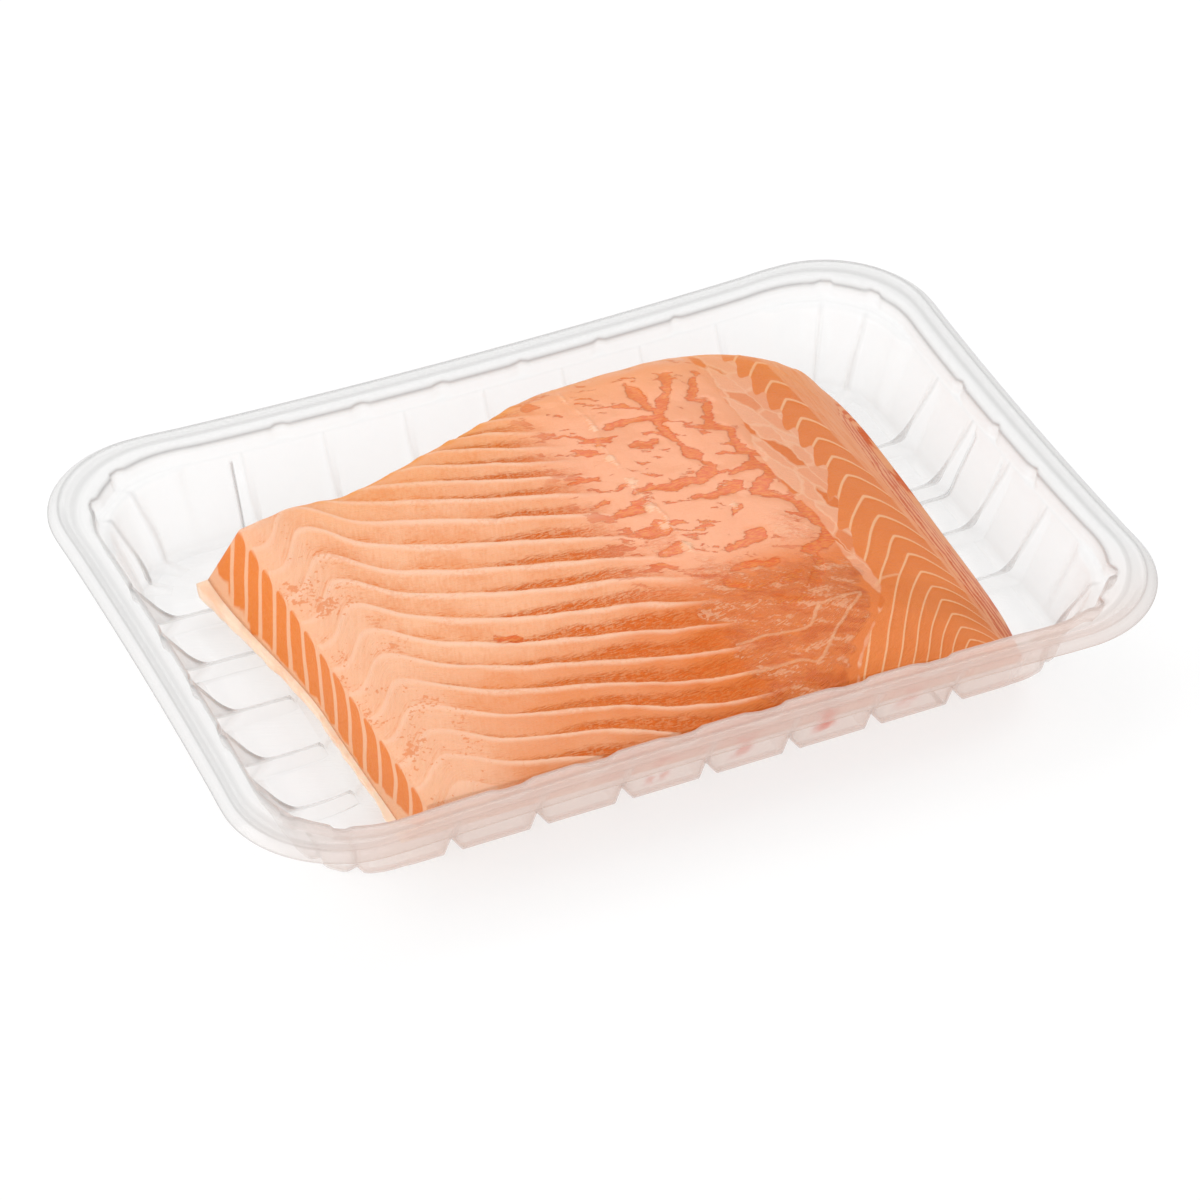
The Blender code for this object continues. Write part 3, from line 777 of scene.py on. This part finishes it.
def top_relief(x, y, fields):
    """How far the flakes, wrinkles and swellings stand over the plain top."""
    share = fields["flake"] % 1.0
    crest = 0.5 + 0.5 * np.cos(2 * math.pi * (share + 0.06))
    rise = 0.32 + 0.3 * blend(-50, 10, x)
    uneven = 1.0 + 0.5 * rough(x, y, 13.0, 4.4)
    ridges = fields["lined"] * (1.0 - 0.62 * fields["hooked"]) * (rise * uneven * crest ** 2 - 0.1)
    gap = blend(fields["gape"] + 0.08, fields["gape"] - 0.12, share) * blend(0.0, 0.1, share)
    gap = fields["lined"] * gap
    along, across = grain_axes(x, y)
    crumble = rough(along * 0.4, across - 0.25 * along, 1.3, 8.8, 2)
    gaps = gap * (0.36 * crumble - 0.2)
    swell = fields["smooth"] * (0.35 * rough(x, y, 11.0, 51.0) + 0.1)
    grooves = -0.3 * blend(-1.8, 0.8, fields["wrinkle"])
    lines = 0.14 * blend(-1.0, 0.0, fields["membrane"]) + 0.35 * blend(0.0, 0.7, fields["knob"])
    lines = lines + 0.25 * fields["seam"]
    grains = 0.14 * crumble * blend(0.0, 0.6, fields["granular"])
    vee = np.abs(fields["chevron"] % 1.0 - 0.5)
    chevrons = 0.22 * blend(0.36, 0.5, vee) * blend(0.0, 2.0, fields["chevroned"])
    return ridges + gaps + swell + grooves + lines + grains + chevrons + 0.1 * rough(x, y, 4.5, 9.9, 2)


def fillet_sheet(shape):
    """Draws a flat grid with an extruded border, and gives each vertex's shares along, across and up."""
    bmesh.ops.create_grid(shape, x_segments=TOP_ALONG, y_segments=TOP_ACROSS, size=0.5)
    shape.verts.ensure_lookup_table()
    grid = np.array([(vert.co.x + 0.5, vert.co.y + 0.5) for vert in shape.verts])
    order = {vert: index for index, vert in enumerate(shape.verts)}
    border = [edge for edge in shape.edges if edge.is_boundary]
    loop = list({vert for edge in border for vert in edge.verts})
    loop.sort(key=order.get)
    rows = [order[vert] for vert in loop]
    levels = [np.ones(len(grid))]
    places = [grid]
    for step in range(1, SIDE_STEPS + 1):
        border, loop = extruded(shape, border, loop)
        levels.append(np.full(len(rows), 1.0 - step / SIDE_STEPS))
        places.append(grid[rows])
    bmesh.ops.contextual_create(shape, geom=border)
    bmesh.ops.recalc_face_normals(shape, faces=shape.faces)
    shape.verts.ensure_lookup_table()
    along, across = np.concatenate(places).T
    return along, across, np.concatenate(levels)


def edge_drop(along, across):
    """How far the top's rounded edges lie below it."""
    edges = [(along, LEFT_ROUNDS), (across, FRONT_ROUNDS)]
    edges += [(1.0 - along, RIGHT_ROUNDS), (1.0 - across, BACK_ROUNDS)]
    drops = [size * np.maximum(1.0 - share / EDGE_ROUNDING, 0.0) ** 2 for share, size in edges]
    return np.max(drops, axis=0)


def fillet():
    """The flesh: its sheet bent to the top and sides, with the patterns that its material reads."""
    shape = bmesh.new()
    along, across, level = fillet_sheet(shape)
    top_x, top_y = outline_point(along, across)
    fields, warped_x, warped_y = fillet_fields(top_x, top_y)
    top_z = top_height(top_x, top_y) + top_relief(top_x, top_y, fields) - edge_drop(along, across)
    x, y = side_point(along, across, level)
    foot = fat_top(x, y) + GAP
    on_side = level < 0.999
    x = np.where(on_side, x, top_x)
    y = np.where(on_side, y, top_y)
    z = np.where(on_side, foot + (top_z - foot) * level, top_z)
    for vert, point in zip(shape.verts, np.stack([x, y, z], axis=1)):
        vert.co = point
    if shape.calc_volume(signed=True) < 0:
        bmesh.ops.reverse_faces(shape, faces=shape.faces)
    piece = finished("salmon_flesh", shape, salmon_flesh(), "flesh")
    depth = (top_z - z) * on_side
    creamy = 0.7 + 4.5 * blend(-52.0, -74.0, top_y) + 2.0 * blend(20.0, 44.0, top_y)
    creamy = creamy + 2.2 * rough(top_y, 0.0 * z, 7.0, 72.0, 2)
    lean = 0.65 + 0.4 * blend(0.0, 35.0, top_y)
    stripe = top_y + lean * depth + 0.8 * rough(top_y, depth, 9.0, 71.0)
    fields.update(depth=depth, over_fat=z - foot - creamy, stripe=stripe / STRIPE_PITCH)
    fields["cut"] = (along < 1e-6) * on_side
    for name, values in fields.items():
        add_layer(piece.data, name, values)
    grain_x, _ = grain_axes(top_x, top_y)
    add_vectors(piece.data, "flow", [grain_x, fields["flake"] * FLAKE_PITCH, z])
    add_vectors(piece.data, "warped", [warped_x, warped_y, z])


def flesh_values(tree, place):
    """Every number that the flesh's colours read, by name: the mesh's own layers, and noises."""
    read = {name: attribute(tree, name) for name in FLESH_LAYERS}
    flow = attribute(tree, "flow", 1)
    warped = attribute(tree, "warped", 1)
    read["strokes"] = grain(tree, stretched(tree, flow, STROKE_TURN, STROKE_SIZE), 1.0, 4.0, 0.4)
    read["fibres"] = grain(tree, stretched(tree, flow, FIBRE_TURN, FIBRE_SIZE), 1.0, 2.0)
    read["cloud"] = grain(tree, place, 90.0, 3.0)
    read["speck"] = grain(tree, place, 900.0, 2.0)
    read["patchy"] = grain(tree, stretched(tree, warped, GRAIN_TURN, PATCH_SIZE), 1.0, 4.0)
    read["cells"] = stretched(tree, warped, CELL_TURN, CELL_SIZE)
    read["share"] = read["flake"].math("FRACT")
    read["stroke"] = read["strokes"].step(0.36, 0.60)
    reach = read["gape"] + (read["strokes"] - 0.5) * 0.35
    inside = (read["share"] - reach).step(0.10, -0.22) * read["share"].step(0.03, 0.10)
    read["gap"] = inside * read["lined"] * (1.0 - read["hooked"])
    read["wet grain"] = read["granular"].step(0.1, 0.55)
    patches = (read["patchy"] + (read["strokes"] - 0.5) * 0.15).step(0.585, 0.615) * read["smooth"]
    groove = read["wrinkle"] + (read["patchy"] - 0.5) * 5.0 + (read["strokes"] - 0.5) * 1.6
    read["groove"] = groove.step(-0.6, -0.1).math("MAXIMUM", patches)
    return read


def lined_flesh(tree, read):
    """Peach flesh with raised pale lines, orange gaps below them, and small grains near the cut side."""
    share, strokes, fibres, cloud = read["share"], read["strokes"], read["fibres"], read["cloud"]
    colour = mixed(tree, read["ruddy"], PEACH, RUDDY)
    shade = (1.0 - share) ** 1.6 * read["lined"] * 0.5 * (1.0 - read["hooked"] * 0.7)
    mottle = (cloud - 0.5) * 1.0 + (fibres - 0.5) * 0.8 + (strokes - 0.5) * 0.5 + 0.08
    colour = mixed(tree, (shade + mottle).clamped(), colour, seen(239, 146, 86))
    colour = mixed(tree, read["deep"] * 0.8, colour, seen(237, 134, 72))
    crisp = (strokes + (fibres - 0.5) * 0.3).step(0.43, 0.54)
    colour = mixed(tree, (read["gap"] * (0.25 + 0.85 * crisp)).clamped(), colour, ORANGE)
    dashes = strokes.step(0.52, 0.60) * share.step(0.03, 0.08) * (1.0 - share.step(0.2, 0.34))
    dashes = dashes * cloud.step(0.42, 0.56) * read["lined"]
    colour = mixed(tree, dashes * 0.75, colour, seen(236, 130, 62))
    start = 0.74 + read["ruddy"] * 0.08 - (cloud - 0.5) * 0.3
    crest = ((share - start).step(0.0, 0.2) + (1.0 - share.step(0.02, 0.09))).clamped() * read["lined"]
    colour = mixed(tree, crest * (0.8 - read["hooked"] * 0.3 - read["ruddy"] * 0.15), colour, CREAM)
    colour = mixed(tree, read["hooked"] * (cloud * 0.6), colour, seen(255, 202, 170))
    grains = ((read["speck"] - 0.5) * 1.5 + (cloud - 0.5) * 1.8).step(0.2, 0.32)
    grains = grains * (read["hooked"] + read["lined"] * 0.3).clamped()
    return mixed(tree, grains * 0.7, colour, seen(236, 140, 84))


def wrinkled_middle(tree, read, colour):
    """The smooth middle, pink partly of its own colour and partly as painted sheen, with meaty grooves, the
    pale seam and knobs, and the wet grainy patches with painted glints.
    """
    strokes, stroke, patchy, groove = read["strokes"], read["stroke"], read["patchy"], read["groove"]
    # Painted sheen: the smooth middle's pink is partly its own colour and partly a painted stand-in for its
    # soft gloss
    colour = mixed(tree, read["smooth"] * (0.6 - read["deep"] * 0.5), colour, seen(248, 171, 130))
    meaty = mixed(tree, stroke, seen(238, 138, 62), seen(228, 102, 22))
    meaty = mixed(tree, groove * (1.0 - groove) * 3.0, meaty, seen(208, 94, 36))
    colour = mixed(tree, groove * 0.92, colour, meaty)
    knob = (read["knob"] + (strokes - 0.5) * 2.5).step(0.0, 0.4)
    pale_spots = (knob + read["seam"] * strokes.step(0.4, 0.6)).clamped()
    colour = mixed(tree, pale_spots * 0.75, colour, seen(254, 202, 166))
    wet = read["wet grain"]
    colour = mixed(tree, wet * stroke * 0.5, colour, seen(228, 114, 54))
    colour = mixed(tree, wet * patchy.step(0.56, 0.60) * 0.6, colour, seen(222, 106, 44))
    # Painted glints: pale pink specks that stand for wet highlights on the grainy patches
    glint = (read["speck"] - 0.5) * 1.0 + (strokes - 0.5) * 1.6 - (patchy - 0.5) * 2.4
    return mixed(tree, glint.step(0.2, 0.32) * wet * 0.75, colour, seen(249, 180, 138))


def thin_side(tree, read, place, colour):
    """The V shaped lines, the pale cells beside them, the thin pale lines and the fatty right edge."""
    side = mixed(tree, (read["cloud"] - 0.3) * 0.8, seen(240, 138, 74), seen(232, 118, 50))
    vee = (read["chevron"].math("FRACT") - 0.5).math("ABSOLUTE").step(0.412, 0.468)
    side = mixed(tree, vee, side, seen(251, 188, 141))
    colour = mixed(tree, read["chevroned"].step(-0.3, 0.3), colour, side)
    cells = {"Vector": read["cells"], "Scale": 1.0}
    tone = add_node(tree, "ShaderNodeTexVoronoi", {}, cells, output=1).math("FRACT")
    walls = add_node(tree, "ShaderNodeTexVoronoi", {"feature": "DISTANCE_TO_EDGE"}, cells)
    band = mixed(tree, tone, seen(251, 184, 148), seen(242, 152, 106))
    band = mixed(tree, tone.step(0.62, 0.66), band, seen(232, 124, 58))
    band = mixed(tree, walls.step(0.09, 0.02) * 0.55, band, seen(253, 198, 162))
    colour = mixed(tree, read["band"].step(-0.3, 0.4) * 0.95, colour, band)
    line = (read["membrane"] + (read["strokes"] - 0.5) * 0.8).step(-0.7, -0.2)
    colour = mixed(tree, line * 0.6, colour, seen(250, 186, 142))
    brush = grain(tree, stretched(tree, place, 0.0, BRUSH_SIZE), 1.0, 2.0)
    fat = mixed(tree, brush.step(0.3, 0.8) * 0.7, seen(247, 168, 122), seen(238, 142, 84))
    colour = mixed(tree, read["edge_fat"].step(-0.5, 0.5), colour, fat)
    streak = (read["beyond"] * 0.5 + (brush - 0.5) * 1.2).math("FRACT")
    streak = (streak - 0.5).math("ABSOLUTE").step(0.2, 0.32)
    edge = mixed(tree, streak, seen(246, 168, 120), seen(224, 104, 42))
    return mixed(tree, read["beyond"].step(0.0, 0.4), colour, edge)


def cut_side(tree, read):
    """The cut left side: upright bands of meat, round at their tops, between pale lines of fat."""
    across_stripe = (read["stripe"].math("FRACT") - 0.5).math("ABSOLUTE")
    top_round = 0.375 * (1.0 - (1.0 - read["depth"] * 0.45).math("MAXIMUM", 0.0) ** 2.0)
    lens = (across_stripe - top_round + (read["cloud"] - 0.5) * 0.06).step(0.03, -0.03)
    lens = lens * (read["over_fat"] + (read["cloud"] - 0.5) * 5.0).step(0.2, 1.4)
    meat = mixed(tree, (read["fibres"] - 0.2) * 0.9, seen(243, 142, 70), seen(236, 122, 50))
    return mixed(tree, lens, seen(250, 188, 148), meat)


def salmon_flesh():
    made, tree, shader, place = fresh_material("salmon flesh")
    read = flesh_values(tree, place)
    colour = lined_flesh(tree, read)
    colour = wrinkled_middle(tree, read, colour)
    colour = thin_side(tree, read, place, colour)
    top_only = (1.0 - read["depth"] * 0.5).clamped()
    colour = mixed(tree, read["back_glow"] * top_only * 0.8, colour, seen(246, 158, 70))
    colour = mixed(tree, read["cut"], colour, cut_side(tree, read))
    feed(tree, shader, "Base Color", colour)
    wet = (read["smooth"] * 0.8 + read["wet grain"] * 0.6).clamped()
    feed(tree, shader, "Roughness", 0.44 - wet * 0.2 + read["gap"] * 0.12)
    feed(tree, shader, "Coat Weight", wet * 0.25)
    shader.inputs["Coat Roughness"].default_value = 0.2
    shader.inputs["Specular IOR Level"].default_value = 0.3
    shader.inputs["Subsurface Weight"].default_value = 0.12
    shader.inputs["Subsurface Radius"].default_value = (1.0, 0.4, 0.2)
    shader.inputs["Subsurface Scale"].default_value = 0.002
    relief = read["strokes"] * (0.45 + read["gap"] + read["wet grain"]) + read["speck"] * 0.25
    relief = relief * (1.0 - read["smooth"] * 0.7) - read["groove"] * 0.3
    feed(tree, shader, "Normal", bump(tree, relief, 0.7, 0.0007))
    return made


def pale_layer():
    """The fat and skin below the flesh, a soft slab that stands a little proud of the cut side."""
    shape = bmesh.new()
    ahead = [index / FAT_STEPS_ALONG for index in range(FAT_STEPS_ALONG)]
    aside = [index / FAT_STEPS_ACROSS for index in range(FAT_STEPS_ACROSS)]
    borders = [(share, 0.0) for share in ahead] + [(1.0, share) for share in aside]
    borders += [(1.0 - share, 1.0) for share in ahead] + [(0.0, 1.0 - share) for share in aside]
    along, across = np.array(borders).T
    x, y = side_point(along, across, np.zeros(len(along)))
    flap = 1.0 + 0.7 * rough(y, 0.0 * y, 9.0, 95.0, 2)
    flap = flap + 1.6 * blend(30.0, 44.0, y) + 0.9 * blend(-50.0, -70.0, y)
    x = x - FAT_PROUD * flap * (1.0 - along) ** 12
    top = fat_top(x, y)
    loop = [shape.verts.new(point) for point in zip(x, y, top)]
    edges = [shape.edges.new((loop[index - 1], loop[index])) for index in range(len(loop))]
    middle = np.array([x.mean(), y.mean()])
    bmesh.ops.contextual_create(shape, geom=edges)
    for inwards, down in FAT_RINGS:
        edges, loop = extruded(shape, edges, loop)
        for vert, start_x, start_y, start_z in zip(loop, x, y, top):
            towards = middle - (start_x, start_y)
            towards = towards / np.linalg.norm(towards)
            drawn_in = FAT_DRAWS_IN * (start_y < FRONT_EDGE + 20) * down
            level = start_z + (FISH_BASE - start_z) * down
            vert.co = (start_x + towards[0] * inwards, start_y + towards[1] * inwards + drawn_in, level)
    bmesh.ops.contextual_create(shape, geom=edges)
    bmesh.ops.recalc_face_normals(shape, faces=shape.faces)
    if shape.calc_volume(signed=True) < 0:
        bmesh.ops.reverse_faces(shape, faces=shape.faces)
    finished("fat_and_skin", shape, fat_and_skin(), "fat_layer")


def fat_and_skin():
    made, tree, shader, place = fresh_material("pale fat and skin")
    blotch = grain(tree, place, 120.0, 3.0).step(0.4, 0.7)
    colour = mixed(tree, blotch * 0.6, linear(255, 220, 190), linear(248, 184, 140))
    feed(tree, shader, "Base Color", colour)
    shader.inputs["Roughness"].default_value = 0.35
    shader.inputs["Subsurface Weight"].default_value = 0.15
    shader.inputs["Subsurface Scale"].default_value = 0.003
    feed(tree, shader, "Normal", bump(tree, blotch, 0.3, 0.0008))
    return made


# Stage

def outwards(turn, rise):
    """The direction from the tray to a lamp or the camera, at a turn round it and a rise over it."""
    return Vector((math.sin(turn) * math.cos(rise), -math.cos(turn) * math.cos(rise), math.sin(rise)))


def floor():
    """A white table that glows a little, so that it stays white under the soft shadows."""
    shape = bmesh.new()
    bmesh.ops.create_grid(shape, x_segments=1, y_segments=1, size=FLOOR_REACH)
    mesh = bpy.data.meshes.new("floor")
    shape.to_mesh(mesh)
    shape.free()
    made, _, shader, _ = fresh_material("white table")
    shader.inputs["Base Color"].default_value = (0.3, 0.3, 0.3, 1.0)
    shader.inputs["Roughness"].default_value = 0.9
    shader.inputs["Specular IOR Level"].default_value = 0.0
    shader.inputs["Emission Color"].default_value = (1.0, 1.0, 1.0, 1.0)
    shader.inputs["Emission Strength"].default_value = 0.68
    mesh.materials.append(made)
    piece = bpy.data.objects.new("floor", mesh)
    bpy.context.scene.collection.objects.link(piece)


def lamp(name, turn, rise, distance, size, power):
    """A square soft lamp that looks at the tray from a turn and a rise, both in degrees."""
    light = bpy.data.lights.new(name, "AREA")
    light.size = size
    light.energy = power
    made = bpy.data.objects.new(name, light)
    bpy.context.scene.collection.objects.link(made)
    out = outwards(math.radians(turn), math.radians(rise))
    made.location = out * distance
    made.rotation_euler = out.to_track_quat("Z", "Y").to_euler()


def studio():
    world = bpy.data.worlds.new("studio")
    world.use_nodes = True
    world.node_tree.nodes["Background"].inputs[0].default_value = (1.0, 1.0, 1.0, 1.0)
    world.node_tree.nodes["Background"].inputs[1].default_value = 0.78
    bpy.context.scene.world = world
    bpy.context.scene.view_settings.view_transform = "Standard"
    lamp("back softbox", 150.0, 52.0, 1.4, 0.9, 5.5)
    lamp("left softbox", -100.0, 30.0, 1.5, 0.9, 7.0)
    lamp("front softbox", -25.0, 10.0, 1.5, 1.0, 9.0)


def camera():
    made = bpy.data.objects.new("camera", bpy.data.cameras.new("camera"))
    bpy.context.scene.collection.objects.link(made)
    out = outwards(CAMERA_TURN, CAMERA_RISE)
    made.location = (Vector(CAMERA_TARGET) + out * CAMERA_DISTANCE) * MM
    made.rotation_euler = (math.pi / 2 - CAMERA_RISE, 0.0, CAMERA_TURN)
    made.data.lens = CAMERA_LENS
    made.data.clip_end = 20.0
    bpy.context.scene.camera = made


tray()
fillet()
pale_layer()
floor()
studio()
camera()
